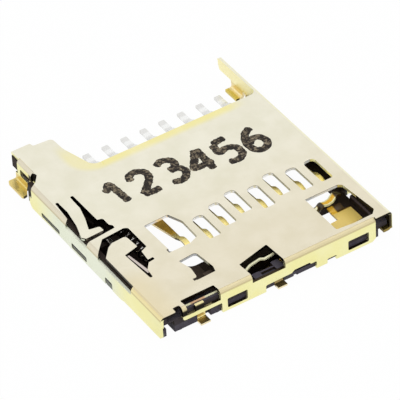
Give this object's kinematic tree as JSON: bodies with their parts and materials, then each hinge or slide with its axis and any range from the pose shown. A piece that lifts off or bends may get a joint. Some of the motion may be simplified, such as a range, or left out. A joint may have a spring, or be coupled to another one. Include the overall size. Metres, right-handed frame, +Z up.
{
  "type": "microsd card connector",
  "caption": "Push-push memory card socket for surface mounting: folded metal shell, moulded housing, sprung contacts, card detect switch and sliding ejector with a cam pin.",
  "frame": {"origin": "middle of the connector's bounding box, on the board's surface", "axes": "+Z up from the board, +Y the way the card goes in, +X towards the side with the eject mechanism"},
  "size_m": [0.013, 0.015, 0.0014],
  "materials": {
    "shell": "satin, pale gold flash",
    "housing": "matt black moulding",
    "contact": "bright gold flash, tinned tails",
    "switch": "gold flash",
    "slider": "matt black moulding",
    "pin": "bright wire",
    "spring": "bright spring wire"
  },
  "bodies": {
    "socket": {"shell": "shell", "housing": "housing", "contact_1": "contact", "contact_2": "contact", "contact_3": "contact", "contact_4": "contact", "contact_5": "contact", "contact_6": "contact", "contact_7": "contact", "contact_8": "contact", "switch_fixed_contact": "switch", "switch_moving_contact": "switch", "eject_spring": "spring"},
    "slider": {"eject_slider": "slider"},
    "pin": {"cam_pin": "pin"}
  },
  "joints": [
    {"name": "slider_travel", "type": "slide", "parent": "socket", "child": "slider", "axis": [0, 1, 0], "range_m": [0, 0.0046], "stiffness_N_per_m": 120, "springref_m": -0.002, "deforming": ["eject_spring"]},
    {"name": "pin_swing", "type": "hinge", "parent": "socket", "child": "pin", "pos_m": [0.00534, 0.00658, 0.001], "axis": [0, 0, 1], "range_deg": [0, 4]}
  ],
  "couplings": [
    {"joint": "pin_swing", "follows": "slider_travel", "rad_per_m": 14.4}
  ]
}
